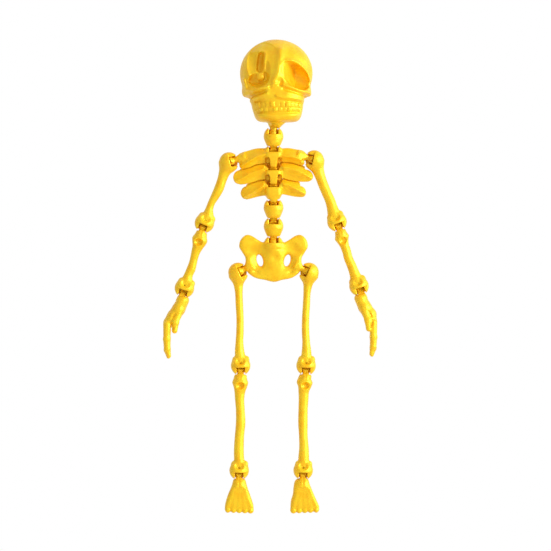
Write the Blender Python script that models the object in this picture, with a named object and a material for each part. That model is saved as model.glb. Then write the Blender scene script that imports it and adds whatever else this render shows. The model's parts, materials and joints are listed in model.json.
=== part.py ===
"""Articulated skeleton figure, printed in place as twenty pieces joined by captive ball joints.

Millimetres in the constants, metres in Blender. +Z is up, the figure looks towards -Y, and its own left
is +X. The origin is the top of the skull, where the figure is held, so everything hangs below it. All
joint centres lie in the plane y = 0, and every piece is flat where it was printed, at y = BED.
"""

import math

import bmesh
import bpy
from mathutils import Matrix, Vector

MM = 0.001

# Ball joint: a ball on a neck, caught in a notched cup
CUP_RADIUS = 5.0
CAVITY_RADIUS = 3.25
BALL_RADIUS = 2.9
NECK_RADIUS = 1.2
STUB_RADIUS = 1.55
NECK_END = 3.3
STUB_START = 4.6
NOTCH_RIM = 0.9
NOTCH_WIDTH_AT_CENTRE = 0.95
NOTCH_FLARE = 0.5
NOTCH_BACK_ANGLE = math.radians(33)
SWING_CLEARANCE = 0.35
BED = 4.6

# Facets around a cup, a ball and a bone
CUP_FACETS = 16
BALL_FACETS = 12
BONE_FACETS = 10

# Spine: height of the first ball, then the distance from each ball to the next
NECK_HEIGHT = -48.5
NECK_PITCH = 9.1
CHEST_UPPER_PITCH = 9.3
CHEST_MIDDLE_PITCH = 8.6
CHEST_LOWER_PITCH = 9.3
LUMBAR_UPPER_PITCH = 9.6
LUMBAR_LOWER_PITCH = 9.5

# Shoulders and hips: joint centre (x, z) on each side, and the slope of the stub that carries the ball
SHOULDER = {"right": (-22.7, -61.7), "left": (20.7, -60.7)}
HIP = {"right": (-18.1, -118.0), "left": (18.1, -118.0)}
SHOULDER_SLOPE = math.radians(18)
HIP_SLOPE = math.radians(28)
SHOULDER_STUB = 8.5
HIP_STUB = 8.0
CUP_OPENS_BELOW_STUB = math.radians(4)

# Limbs: length from joint to joint, and outward tilt of each bone at rest
UPPER_ARM = 33.6
FOREARM = 34.7
THIGH = 47.6
SHIN = 53.4
TILT = {
    "right": {"upper_arm": 21.9, "forearm": 17.1, "hand": 17.1, "thigh": -1.6, "shin": 0.8},
    "left": {"upper_arm": 20.3, "forearm": 18.9, "hand": 18.9, "thigh": -1.8, "shin": -1.6},
}
OUTWARD = {"right": -1, "left": 1}

# Feet are flat underneath, just in front of the bed, so that they hang level
SOLE = 3.4

# Skull
CRANIUM_CENTRE = (1.3, -8.0, -17.2)
CRANIUM_SIZE = (18.5, 17.0, 17.2)

GOLD = (0.83, 0.50, 0.03, 1.0)
GOLD_ROUGHNESS = 0.32
GOLD_METALLIC = 0.45


# ---------------------------------------------------------------- basic solids

def solid(name, shape):
    """Turn a bmesh in millimetres into an object in metres."""
    bmesh.ops.scale(shape, vec=(MM, MM, MM), verts=shape.verts)
    bmesh.ops.recalc_face_normals(shape, faces=shape.faces)
    mesh = bpy.data.meshes.new(name)
    shape.to_mesh(mesh)
    shape.free()
    item = bpy.data.objects.new(name, mesh)
    bpy.context.scene.collection.objects.link(item)
    return item


def ellipsoid(size, centre=(0, 0, 0), facets=BALL_FACETS, turn=0.0):
    """An ellipsoid with its poles on X, turned about Y by an angle."""
    shape = bmesh.new()
    poles_on_x = Matrix.Rotation(math.pi / 2, 4, "Y")
    bmesh.ops.create_uvsphere(shape, u_segments=facets, v_segments=facets // 2, radius=1.0)
    place = Matrix.Translation(centre) @ Matrix.Rotation(turn, 4, "Y") @ Matrix.Diagonal((*size, 1)) @ poles_on_x
    bmesh.ops.transform(shape, matrix=place, verts=shape.verts)
    return solid("ellipsoid", shape)


def ball(radius, centre=(0, 0, 0), facets=BALL_FACETS):
    return ellipsoid((radius, radius, radius), centre, facets)


def box(low, high):
    """A box between two corners."""
    shape = bmesh.new()
    middle = (Vector(low) + Vector(high)) / 2
    size = Vector(high) - Vector(low)
    place = Matrix.Translation(middle) @ Matrix.Diagonal((*size, 1))
    bmesh.ops.create_cube(shape, size=1.0, matrix=place)
    return solid("box", shape)


def loft(rings):
    """A closed skin over rings that all have the same number of points."""
    shape = bmesh.new()
    rows = [[shape.verts.new(point) for point in ring] for ring in rings]
    count = len(rings[0])
    for row, following in zip(rows, rows[1:]):
        for i in range(count):
            j = (i + 1) % count
            shape.faces.new((row[i], row[j], following[j], following[i]))
    shape.faces.new(rows[0])
    shape.faces.new(list(reversed(rows[-1])))
    return solid("loft", shape)


def oval(height, half_width, half_depth, shift=(0, 0), facets=BONE_FACETS):
    """A level oval ring for an upright bone."""
    ring = []
    for i in range(facets):
        angle = 2 * math.pi * (i + 0.5) / facets
        ring.append((shift[0] + half_width * math.cos(angle), shift[1] + half_depth * math.sin(angle), height))
    return ring


def ring_around(centre, along, radius, facets):
    """A round ring across a direction that lies in, or close to, the plane of the joints."""
    side = along.cross(Vector((0, 1, 0))).normalized()
    front = side.cross(along)
    ring = []
    for i in range(facets):
        angle = 2 * math.pi * (i + 0.5) / facets
        ring.append(centre + radius * (math.cos(angle) * side + math.sin(angle) * front))
    return ring


def rod(start, end, start_radius, end_radius, facets):
    """A straight tapered rod between two points."""
    start = Vector(start)
    end = Vector(end)
    along = (end - start).normalized()
    return loft([ring_around(start, along, start_radius, facets), ring_around(end, along, end_radius, facets)])


def plate(outline, front, back):
    """An outline in the XZ plane, given thickness along Y."""
    return loft([[(x, front, z) for x, z in outline], [(x, back, z) for x, z in outline]])


# ---------------------------------------------------------------- joining and cutting

def combine(target, operand, operation):
    """Apply a Boolean to the target and remove the operand."""
    modifier = target.modifiers.new("combine", "BOOLEAN")
    modifier.operation = operation
    modifier.solver = "EXACT"
    modifier.object = operand
    bpy.context.view_layer.update()
    evaluated = target.evaluated_get(bpy.context.evaluated_depsgraph_get())
    result = bpy.data.meshes.new_from_object(evaluated)
    target.modifiers.clear()
    target.data = result
    bpy.data.objects.remove(operand)


def piece(name, solids, cuts, pivot, tilt=0.0):
    """Join the solids, make the cuts, and hang the result on its joint centre."""
    body = solids[0]
    for addition in solids[1:]:
        combine(body, addition, "UNION")
    for cut in cuts:
        combine(body, cut, "DIFFERENCE")
    body.name = name
    body.data.name = name
    body.location = Vector(pivot) * MM
    body.rotation_euler = (0, tilt, 0)
    body.data.materials.clear()
    body.data.materials.append(gold_plastic(name))
    body.data.shade_smooth()
    body.data.set_sharp_from_angle(angle=math.radians(40))
    return body


def gold_plastic(name):
    """Glossy gold plastic."""
    material = bpy.data.materials.new(name + "_plastic")
    material.use_nodes = True
    shader = material.node_tree.nodes["Principled BSDF"]
    shader.inputs["Base Color"].default_value = GOLD
    shader.inputs["Roughness"].default_value = GOLD_ROUGHNESS
    shader.inputs["Metallic"].default_value = GOLD_METALLIC
    return material


# ---------------------------------------------------------------- the ball joint

def cup(centre=(0, 0, 0)):
    """The outer ball of a joint, before its cavity and notch are cut."""
    return ball(CUP_RADIUS, centre, CUP_FACETS)


def notch(centre, opening):
    """The flared slot in a cup: from just behind its opening round to the rim at the front.

    opening turns the slot about Y from straight up: half a turn makes it open downwards.
    """
    reach = 7.0
    behind = reach * math.tan(NOTCH_BACK_ANGLE)
    profile = [(0.6, NOTCH_RIM), (-reach, NOTCH_RIM), (-reach, reach), (behind, reach)]
    rings = []
    for side in (-1, 1):
        ring = []
        for y, z in profile:
            half_width = NOTCH_WIDTH_AT_CENTRE + NOTCH_FLARE * (z - y) / math.sqrt(2)
            ring.append((side * half_width, y, z))
        rings.append(ring)
    slot = loft(rings)
    slot.data.transform(Matrix.Rotation(opening, 4, "Y"))
    slot.data.transform(Matrix.Translation(Vector(centre) * MM))
    return slot


def cup_cuts(centre, opening):
    return [ball(CAVITY_RADIUS, centre), notch(centre, opening)]


def ball_on_stub(centre, toward, length):
    """A captive ball, its slim neck and the stub that joins it to the piece."""
    centre = Vector(centre)
    toward = Vector(toward).normalized()
    profile = [(1.5, NECK_RADIUS), (NECK_END, NECK_RADIUS), (STUB_START, STUB_RADIUS), (length, STUB_RADIUS)]
    rings = [ring_around(centre + toward * reach, toward, radius, 8) for reach, radius in profile]
    return [ball(BALL_RADIUS, centre), loft(rings)]


def swing_room(centre):
    """The space that a neighbouring cup sweeps as it tilts about its own ball."""
    return ball(CUP_RADIUS + SWING_CLEARANCE, centre, CUP_FACETS)


def behind_bed():
    """Everything behind the flat printed face, on a piece that isn't tilted."""
    return box((-60, BED, -260), (60, BED + 60, 60))


# ---------------------------------------------------------------- spine

def vertebra(name, height, pitch):
    """A cup that opens upwards, with the ball for the next piece below it."""
    lower_ball = (0, 0, -pitch)
    body = cup()
    combine(body, swing_room(lower_ball), "DIFFERENCE")
    solids = [body] + ball_on_stub(lower_ball, (0, 0, 1), pitch - CAVITY_RADIUS - 0.4)
    return piece(name, solids, cup_cuts((0, 0, 0), 0.0) + [behind_bed()], (0, 0, height))


def rib(side, path):
    """A blade with a ridge along its front; path is (x, y, z, half height, depth) from root to tip."""
    rings = []
    for x, y, z, half_height, depth in path:
        outline = [
            (half_height, 0.0),
            (half_height * 0.25, -depth),
            (-half_height * 0.35, -depth * 0.85),
            (-half_height, 0.0),
            (-half_height * 0.55, depth * 0.6),
            (half_height * 0.55, depth * 0.6),
        ]
        rings.append([(side * x, y + out, z + up) for up, out in outline])
    return loft(rings)


def chest_upper(height):
    """Top ribs, with a stub and ball at each end for the arms."""
    pitch = CHEST_UPPER_PITCH
    lower_ball = (0, 0, -pitch)
    body = cup()
    combine(body, swing_room(lower_ball), "DIFFERENCE")
    solids = [body] + ball_on_stub(lower_ball, (0, 0, 1), pitch - CAVITY_RADIUS - 0.4)
    for name, side in OUTWARD.items():
        x, z = SHOULDER[name]
        centre = (x, 0, z - height)
        inward = (-side * math.cos(SHOULDER_SLOPE), 0, math.sin(SHOULDER_SLOPE))
        top_rib = rib(side, [
            (4.0, 0.4, -0.4, 2.9, 3.6),
            (8.5, -0.6, -0.7, 3.2, 3.9),
            (13.0, -0.4, -2.0, 3.0, 3.4),
            (16.4, 0.0, -4.6, 1.5, 1.8),
        ])
        combine(top_rib, swing_room(centre), "DIFFERENCE")
        solids += [top_rib] + ball_on_stub(centre, inward, SHOULDER_STUB)
    return piece("chest_upper", solids, cup_cuts((0, 0, 0), 0.0) + [behind_bed()], (0, 0, height))


def chest_rib_piece(name, height, pitch, path):
    """A vertebra that carries one pair of ribs."""
    lower_ball = (0, 0, -pitch)
    body = cup()
    combine(body, swing_room(lower_ball), "DIFFERENCE")
    solids = [body, rib(-1, path), rib(1, path)] + ball_on_stub(lower_ball, (0, 0, 1), pitch - CAVITY_RADIUS - 0.4)
    return piece(name, solids, cup_cuts((0, 0, 0), 0.0) + [behind_bed()], (0, 0, height))


# ---------------------------------------------------------------- skull

def skull(neck_height):
    """Cranium, face and jaw in one, with the neck ball below."""
    x, y, z = CRANIUM_CENTRE
    cranium = ellipsoid(CRANIUM_SIZE, CRANIUM_CENTRE, 24)
    jaw = loft([
        oval(-22.0, 14.5, 12.5, (x, -9.5), 12),
        oval(-28.5, 15.2, 13.0, (x - 0.2, -9.6), 12),
        oval(-33.0, 13.0, 13.2, (x - 0.4, -9.4), 12),
        oval(-38.0, 11.2, 12.6, (x - 0.9, -9.0), 12),
        oval(-42.0, 7.6, 11.2, (x - 1.4, -8.2), 12),
    ])
    cheekbones = ellipsoid((17.6, 9.0, 3.6), (x, -12.5, -24.0), 16)
    eye_right = ellipsoid((6.0, 7.0, 8.2), (x - 8.4, -24.0, -18.0), 12, math.radians(8))
    eye_left = ellipsoid((7.4, 7.0, 5.6), (x + 8.9, -23.0, -18.8), 12, math.radians(28))
    nose = ellipsoid((2.4, 3.0, 3.2), (x + 0.8, -24.8, -24.0), 8)
    mouth = box((x - 12, -40, -36.2), (x + 12, -21.4, -35.6))
    stub = ball_on_stub((0, 0, neck_height), (0, 0, 1), 10.0)
    for addition in (jaw, cheekbones):
        combine(cranium, addition, "UNION")
    for cut in (eye_right, eye_left, nose, mouth, behind_bed()):
        combine(cranium, cut, "DIFFERENCE")
    return piece("skull", [cranium] + stub, [], (0, 0, 0))


# ---------------------------------------------------------------- pelvis

def pelvis(height):
    """A bowl with two wings and two oval holes, a cup above and a ball on each side."""
    half = [(0, 2.0), (4.6, 0.6), (9.5, 4.0), (12.5, 4.7), (15.6, 3.0), (17.0, -1.6), (14.6, -5.6), (13.8, -9.5),
            (13.2, -12.6), (10.5, -15.6), (6.0, -17.8), (0, -19.0)]
    mirrored = [(-x, z) for x, z in reversed(half[1:-1])]
    body = plate(half + mirrored, -2.6, BED)
    solids = [body, cup()]
    cuts = cup_cuts((0, 0, 0), 0.0)
    for name, side in OUTWARD.items():
        x, z = HIP[name]
        centre = (x, 0, z - height)
        inward = (-side * math.cos(HIP_SLOPE), 0, math.sin(HIP_SLOPE))
        cuts.append(ellipsoid((1.9, 12.0, 3.5), (side * 7.2, 0, -8.2), 12, side * math.radians(10)))
        combine(body, swing_room(centre), "DIFFERENCE")
        solids += ball_on_stub(centre, inward, HIP_STUB)
    return piece("pelvis", solids, cuts + [behind_bed()], (0, 0, height))


# ---------------------------------------------------------------- limbs

def bone(length, stations):
    """An upright shaft; stations are (distance down the bone, half width, half depth)."""
    return loft([oval(-down, half_width, half_depth) for down, half_width, half_depth in stations])


def cup_to_cup_bone(name, pivot, tilt, length, opening, stations):
    """An upper arm or a thigh: a cup for the body's ball, and a cup that opens downwards."""
    lower = (0, 0, -length)
    solids = [cup(), bone(length, stations), cup(lower)]
    cuts = cup_cuts((0, 0, 0), opening) + cup_cuts(lower, math.pi) + [behind_bed()]
    return piece(name, solids, cuts, pivot, tilt)


def ball_to_cup_bone(name, pivot, tilt, length, stations):
    """A forearm or a shin: a ball on top, a flared head, and a cup that opens downwards."""
    lower = (0, 0, -length)
    solids = [bone(length, stations), cup(lower)] + ball_on_stub((0, 0, 0), (0, 0, -1), 8.0)
    return piece(name, solids, cup_cuts(lower, math.pi) + [behind_bed()], pivot, tilt)


def hand(name, pivot, tilt, side):
    """Seen edge on: the four fingers lie one behind the other, the thumb in front."""
    palm = loft([
        oval(-5.9, 2.6, 2.4, (0, 0), 8),
        oval(-9.0, 3.2, 4.2, (side * 0.6, 0), 8),
        oval(-15.5, 3.0, 5.4, (side * 1.8, 0), 8),
        oval(-18.5, 2.4, 5.0, (side * 2.4, 0), 8),
    ])
    fingers = []
    for row, (y, length) in enumerate(((-3.6, 12.0), (-1.2, 14.5), (1.2, 14.0), (3.5, 11.5))):
        knuckle = Vector((side * 2.4, y, -17.5))
        middle = knuckle + Vector((-side * 1.4, 0, -length * 0.6))
        tip = knuckle + Vector((-side * 5.2, 0, -length))
        fingers.append(rod(knuckle, middle, 1.25, 1.15, 6))
        fingers.append(rod(middle + Vector((0, 0, 0.4)), tip, 1.15, 0.85, 6))
    thumb = rod((-side * 0.6, -4.0, -11.0), (-side * 2.6, -5.4, -20.0), 1.5, 1.1, 6)
    solids = [palm] + fingers + [thumb] + ball_on_stub((0, 0, 0), (0, 0, -1), 7.0)
    return piece(name, solids, [], pivot, tilt)


def foot(name, pivot, side):
    """An instep that widens to five toes, flat underneath, with the big toe nearest the other foot."""
    instep = loft([
        [(-2.6, -2.6, -5.9), (2.6, -2.6, -5.9), (2.6, SOLE, -5.9), (-2.6, SOLE, -5.9)],
        [(-4.4, -3.2, -9.0), (4.4, -3.2, -9.0), (4.4, SOLE, -9.0), (-4.4, SOLE, -9.0)],
        [(-7.0, -0.6, -18.0), (7.0, -0.6, -18.0), (7.0, SOLE, -18.0), (-7.0, SOLE, -18.0)],
    ])
    toes = []
    for i in range(5):
        across = -side * (6.0 - 3.0 * i)
        drop = -18.4 + 0.35 * i
        radius = 1.75 - 0.1 * i
        toes.append(ellipsoid((radius, 2.0, 2.4), (across, SOLE - 2.0, drop), 8))
    solids = [instep] + toes + ball_on_stub((0, 0, 0), (0, 0, -1), 8.0)
    return piece(name, solids, [], pivot)


def bone_end(pivot, length, tilt):
    """Where a bone of a given length ends, in the plane of the joints."""
    return (pivot[0] - length * math.sin(tilt), 0, pivot[2] - length * math.cos(tilt))


def limbs(name, side):
    """One arm and one leg, each bone hung on the end of the one before."""
    lean = {part: -side * math.radians(angle) for part, angle in TILT[name].items()}

    shoulder = (SHOULDER[name][0], 0, SHOULDER[name][1])
    opening = -side * (math.pi / 2 - SHOULDER_SLOPE + CUP_OPENS_BELOW_STUB) - lean["upper_arm"]
    cup_to_cup_bone("upper_arm_" + name, shoulder, lean["upper_arm"], UPPER_ARM, opening, [
        (3.0, 3.4, 3.4), (6.0, 2.7, 2.7), (10.0, 2.2, 2.3), (17.0, 2.25, 2.4), (24.0, 2.05, 2.2),
        (28.0, 2.5, 2.6), (31.0, 3.8, 3.8),
    ])
    elbow = bone_end(shoulder, UPPER_ARM, lean["upper_arm"])
    ball_to_cup_bone("forearm_" + name, elbow, lean["forearm"], FOREARM, [
        (5.8, 2.0, 1.9), (8.2, 3.9, 3.4), (11.5, 3.2, 2.8), (14.5, 2.2, 2.3), (20.0, 2.15, 2.3),
        (26.5, 2.2, 2.3), (29.5, 2.7, 2.7), (32.0, 3.8, 3.8),
    ])
    wrist = bone_end(elbow, FOREARM, lean["forearm"])
    hand("hand_" + name, wrist, lean["hand"], side)

    hip = (HIP[name][0], 0, HIP[name][1])
    opening = -side * (math.pi / 2 - HIP_SLOPE + CUP_OPENS_BELOW_STUB) - lean["thigh"]
    cup_to_cup_bone("thigh_" + name, hip, lean["thigh"], THIGH, opening, [
        (3.0, 3.6, 3.6), (6.5, 2.4, 2.6), (11.0, 1.9, 2.2), (24.0, 1.75, 2.0), (36.0, 2.0, 2.2),
        (41.0, 2.3, 2.5), (44.5, 3.6, 3.6),
    ])
    knee = bone_end(hip, THIGH, lean["thigh"])
    ball_to_cup_bone("shin_" + name, knee, lean["shin"], SHIN, [
        (5.6, 2.0, 1.9), (8.0, 3.9, 3.4), (11.5, 3.2, 2.6), (15.0, 2.2, 2.2), (26.0, 2.1, 2.2),
        (40.0, 2.2, 2.3), (46.0, 2.3, 2.5), (50.0, 3.6, 3.6),
    ])
    ankle = bone_end(knee, SHIN, lean["shin"])
    foot("foot_" + name, ankle, side)


# ---------------------------------------------------------------- the figure

def main():
    for item in list(bpy.data.objects):
        bpy.data.objects.remove(item)

    height = NECK_HEIGHT
    skull(height)
    vertebra("neck", height, NECK_PITCH)
    height -= NECK_PITCH
    chest_upper(height)
    height -= CHEST_UPPER_PITCH
    chest_rib_piece("chest_middle", height, CHEST_MIDDLE_PITCH, [
        (4.0, 0.4, 1.4, 3.4, 3.6), (9.0, -0.8, 0.6, 3.6, 4.0), (14.0, -0.6, -1.0, 3.2, 3.4),
        (18.0, 0.0, -3.4, 1.8, 2.2), (19.6, 0.2, -4.6, 0.7, 1.0),
    ])
    height -= CHEST_MIDDLE_PITCH
    chest_rib_piece("chest_lower", height, CHEST_LOWER_PITCH, [
        (4.0, 0.4, 1.0, 3.4, 3.4), (8.5, -0.6, 0.4, 3.5, 3.7), (12.5, -0.4, -0.8, 3.0, 3.0),
        (15.2, 0.0, -2.6, 1.8, 2.0), (16.6, 0.2, -3.8, 0.8, 1.0),
    ])
    height -= CHEST_LOWER_PITCH
    vertebra("lumbar_upper", height, LUMBAR_UPPER_PITCH)
    height -= LUMBAR_UPPER_PITCH
    vertebra("lumbar_lower", height, LUMBAR_LOWER_PITCH)
    height -= LUMBAR_LOWER_PITCH
    pelvis(height)

    for name, side in OUTWARD.items():
        limbs(name, side)


main()
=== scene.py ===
"""Looks of the articulated skeleton figure: twenty printed pieces in silk gold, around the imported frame.

Each piece is worked out as a signed distance field in its own frame, in millimetres, with its joint centre
at the origin, and skinned into a mesh. It replaces the plain solid of the same name and rides on its body.
"""
import json
import math

import bpy
import numpy as np
from mathutils import Matrix, Vector


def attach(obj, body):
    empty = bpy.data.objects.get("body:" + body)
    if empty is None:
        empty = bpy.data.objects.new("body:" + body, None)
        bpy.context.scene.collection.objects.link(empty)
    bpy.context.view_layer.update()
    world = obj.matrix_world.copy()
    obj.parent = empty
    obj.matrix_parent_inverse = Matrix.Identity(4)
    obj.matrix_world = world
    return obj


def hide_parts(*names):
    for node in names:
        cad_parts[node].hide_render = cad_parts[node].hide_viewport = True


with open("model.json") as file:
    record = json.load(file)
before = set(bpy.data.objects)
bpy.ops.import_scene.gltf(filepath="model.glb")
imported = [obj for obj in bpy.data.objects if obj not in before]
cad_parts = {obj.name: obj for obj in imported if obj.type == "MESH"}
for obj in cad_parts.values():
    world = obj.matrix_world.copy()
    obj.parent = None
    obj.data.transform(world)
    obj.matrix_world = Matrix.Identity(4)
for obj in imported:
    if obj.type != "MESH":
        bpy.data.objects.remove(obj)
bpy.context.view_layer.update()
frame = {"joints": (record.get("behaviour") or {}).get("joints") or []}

MM = 0.001

# Ball joint, in millimetres: a ball on a stem, caught in a round cup
CUP = 5.0
CAVITY = 3.25
BALL = 2.9

# The opening of a cup: its front is cut back above the rim as far as the step, and a slot goes deeper
RIM = 0.9
STEP = 2.6
STEP_HALF_WIDTH = 6.0
SLOT_FLARE = 0.08

# The slot's back wall: how far behind the ball's centre it is at the rim, and how much it leans back
SLOT_BACK = (0.6, 0.65)

# Brings the field of that leaning wall to about a true distance
LEAN_SCALE = 0.84

# Half widths of the slots
SPINE_GAP = 2.3
CHEST_GAP = 2.5
END_GAP = 2.0

# The shoulder and hip cups, whose slots are wider on one side
SIDE_GAP = (2.05, 2.7)
SIDE_RIM = 0.5
SIDE_SLOT_BACK = (1.2, 0.25)

# Room that a piece leaves around its neighbour's cup, and how far the stem in it goes back and leans out
SWING_CLEARANCE = 0.3
HEAD_CLEARANCE = 0.15
STEM_BACK = 1.5
STEM_FRONT = 0.64

# Stems of the spine: half width, the room beside it, and how fast its front comes forward
SPINE_STEM = 1.9
TURNING_STEM = 1.8
STEM_ROOM = 0.15
SPINE_REACH = 0.58
CHEST_REACH = 1.3
TURNING_REACH = 0.34

# Flat backs: of most pieces, of the feet and of the hands
BED = 4.6
SOLE = 3.4
HAND_BACK = 5.4

SIDES = {"right": -1, "left": 1}

# Sampling step of each piece, in millimetres
FINE = 0.24
MEDIUM = 0.27
COARSE = 0.3


# ---------------------------------------------------------------- the frame's joints

JOINTS = {joint["child"]: joint for joint in frame["joints"]}


def pivot(body):
    """The joint centre that a body hangs on, in millimetres; the skull hangs on the origin."""
    if body not in JOINTS:
        return Vector((0, 0, 0))
    return Vector(JOINTS[body]["pos_m"]) / MM


def lean(upper, lower):
    """Angle about Y from straight down to the line between two bodies' joint centres."""
    along = pivot(lower) - pivot(upper)
    return math.atan2(-along.x, -along.z)


def hinge_lean(body):
    """Angle about Y of a hand, read from the axis of its hinge."""
    axis = JOINTS[body]["axis"]
    return math.atan2(axis[2], -axis[0])


# ---------------------------------------------------------------- distance fields

class Block:
    """A block of sample points."""

    def __init__(self, low, high, step):
        self.low = np.array(low, np.float32)
        self.step = step
        axes = []
        for i in range(3):
            count = int(math.ceil((high[i] - low[i]) / step)) + 1
            axes.append(self.low[i] + step * np.arange(count, dtype=np.float32))
        self.x, self.y, self.z = np.meshgrid(*axes, indexing="ij", sparse=True)


def join(a, b, fillet=0.5):
    """Union with a fillet."""
    blend = np.maximum(fillet - np.abs(a - b), 0) / fillet
    return np.minimum(a, b) - blend * blend * (fillet / 4)


def cut(a, b, fillet=0.35):
    """What is left of a outside b."""
    return -join(-a, b, fillet)


def keep(a, b, fillet=0.35):
    """What a and b share."""
    return -join(-a, -b, fillet)


def curve(at, knots, values):
    """A smooth curve through values at rising knots, level beyond the ends."""
    knots = np.asarray(knots, float)
    values = np.asarray(values, float)
    slopes = np.gradient(values, knots)
    at = np.clip(at, knots[0], knots[-1])
    i = np.clip(np.searchsorted(knots, at) - 1, 0, len(knots) - 2)
    width = (knots[i + 1] - knots[i])
    t = (at - knots[i]) / width
    low = values[i] * (1 + 2 * t) + slopes[i] * width * t
    high = values[i + 1] * (3 - 2 * t) - slopes[i + 1] * width * (1 - t)
    return (low * (1 - t) ** 2 + high * t ** 2).astype(np.float32)


def about(block, centre, turn=0.0):
    """Coordinates about a centre, turned about Y."""
    x = block.x - centre[0]
    z = block.z - centre[2]
    cos, sin = math.cos(turn), math.sin(turn)
    return cos * x - sin * z, block.y - centre[1], sin * x + cos * z


def ellipsoid(block, size, centre=(0, 0, 0), turn=0.0):
    x, y, z = about(block, centre, turn)
    a, b, c = size
    near = np.sqrt((x / a) ** 2 + (y / b) ** 2 + (z / c) ** 2)
    slope = np.sqrt((x / a ** 2) ** 2 + (y / b ** 2) ** 2 + (z / c ** 2) ** 2)
    return near * (near - 1) / np.maximum(slope, 1e-4)


def ball(block, radius, centre=(0, 0, 0)):
    x, y, z = about(block, centre)
    return np.sqrt(x * x + y * y + z * z) - radius


def rod(block, start, end, start_radius, end_radius, flatness=1.0):
    """A tapered rod with round ends; flatness over 1 thins it along Y."""
    start = np.array(start, float)
    along = np.array(end, float) - start
    x, y, z = about(block, start)
    share = np.clip((x * along[0] + y * along[1] + z * along[2]) / along.dot(along), 0, 1)
    away = np.sqrt(
        (x - share * along[0]) ** 2
        + ((y - share * along[1]) * flatness) ** 2
        + (z - share * along[2]) ** 2
    )
    return away - (start_radius + (end_radius - start_radius) * share)


def brick(block, size, centre, turn=0.0, edge=0.3):
    """A box with rounded edges; size is its half lengths."""
    x, y, z = about(block, centre, turn)
    dx, dy, dz = np.abs(x) - size[0] + edge, np.abs(y) - size[1] + edge, np.abs(z) - size[2] + edge
    outside = np.sqrt(np.maximum(dx, 0) ** 2 + np.maximum(dy, 0) ** 2 + np.maximum(dz, 0) ** 2)
    return outside + np.minimum(np.maximum(np.maximum(dx, dy), dz), 0) - edge


def column(block, rows, roundness=2.0, ends=1.0):
    """An upright form of changing oval section; rows: height, centre x, centre y, half width, half depth."""
    heights, xs, ys, widths, depths = np.array(sorted(rows), float).T
    width = curve(block.z, heights, widths)
    depth = curve(block.z, heights, depths)
    across = np.abs(block.x - curve(block.z, heights, xs)) / width
    deep = np.abs(block.y - curve(block.z, heights, ys)) / depth
    near = (across ** roundness + deep ** roundness) ** (1 / roundness)
    side = (near - 1) * np.minimum(width, depth)
    return keep(side, np.maximum(heights[0] - block.z, block.z - heights[-1]), ends)


def across_oval(block, centre, size, turn=0.0):
    """How far out in an oval seen from the front: 0 in the middle, 1 at its edge."""
    x, _, z = about(block, (centre[0], 0, centre[1]), turn)
    return np.sqrt((x / size[0]) ** 2 + (z / size[1]) ** 2)


# ---------------------------------------------------------------- skinning a field into a mesh

def skin(block, field):
    """Points and quads of the surface where the field is zero, one point in each cell that it crosses."""
    inside = field < 0
    corners = [np.array((i, j, k)) for i in (0, 1) for j in (0, 1) for k in (0, 1)]
    cells_shape = tuple(n - 1 for n in field.shape)
    count = np.zeros(cells_shape, np.int8)
    for i, j, k in corners:
        count += inside[i:i + cells_shape[0], j:j + cells_shape[1], k:k + cells_shape[2]]
    crossed = (count > 0) & (count < 8)
    cells = np.argwhere(crossed)
    number = np.full(cells_shape, -1, np.int64)
    number[crossed] = np.arange(len(cells))

    total = np.zeros((len(cells), 3))
    hits = np.zeros(len(cells))
    for start in corners:
        for axis in range(3):
            if start[axis]:
                continue
            end = start.copy()
            end[axis] = 1
            low = field[tuple((cells + start).T)].astype(float)
            high = field[tuple((cells + end).T)].astype(float)
            crosses = (low < 0) != (high < 0)
            share = np.where(crosses, low / np.where(crosses, low - high, 1), 0)
            point = start + share[:, None] * (end - start)
            total += point * crosses[:, None]
            hits += crosses
    points = block.low + block.step * (cells + total / hits[:, None])

    quads = []
    for axis in range(3):
        first = [slice(None)] * 3
        second = [slice(None)] * 3
        first[axis] = slice(0, -1)
        second[axis] = slice(1, None)
        leaving = inside[tuple(first)] & ~inside[tuple(second)]
        entering = ~inside[tuple(first)] & inside[tuple(second)]
        u, v = np.eye(3, dtype=int)[(axis + 1) % 3], np.eye(3, dtype=int)[(axis + 2) % 3]
        for edges, order in ((leaving, (3, 2, 0, 1)), (entering, (1, 0, 2, 3))):
            at = np.argwhere(edges)
            around = [number[tuple((at - back).T)] for back in (0 * u, u, v, u + v)]
            quads.append(np.stack([around[corner] for corner in order], axis=1))
    return points, np.concatenate(quads)


def build(name, block, field, place):
    """Skin a field into a piece that stands for the node of the same name and rides on its body."""
    points, quads = skin(block, field)
    mesh = bpy.data.meshes.new(name + "_print")
    mesh.vertices.add(len(points))
    mesh.vertices.foreach_set("co", (points * MM).astype(np.float32).ravel())
    mesh.loops.add(4 * len(quads))
    mesh.loops.foreach_set("vertex_index", quads.astype(np.int32).ravel())
    mesh.polygons.add(len(quads))
    mesh.polygons.foreach_set("loop_start", np.arange(0, 4 * len(quads), 4, dtype=np.int32))
    mesh.update()
    mesh.validate()
    mesh.shade_smooth()
    mesh.materials.append(SILK_GOLD)
    piece = bpy.data.objects.new(name + "_print", mesh)
    bpy.context.scene.collection.objects.link(piece)
    piece.matrix_world = place
    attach(piece, name)
    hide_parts(name)
    return piece


def place_at(body, turn=0.0):
    """A body's own frame: its joint centre, turned about Y."""
    return Matrix.Translation(pivot(body) * MM) @ Matrix.Rotation(turn, 4, "Y")


# ---------------------------------------------------------------- silk gold plastic

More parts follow.
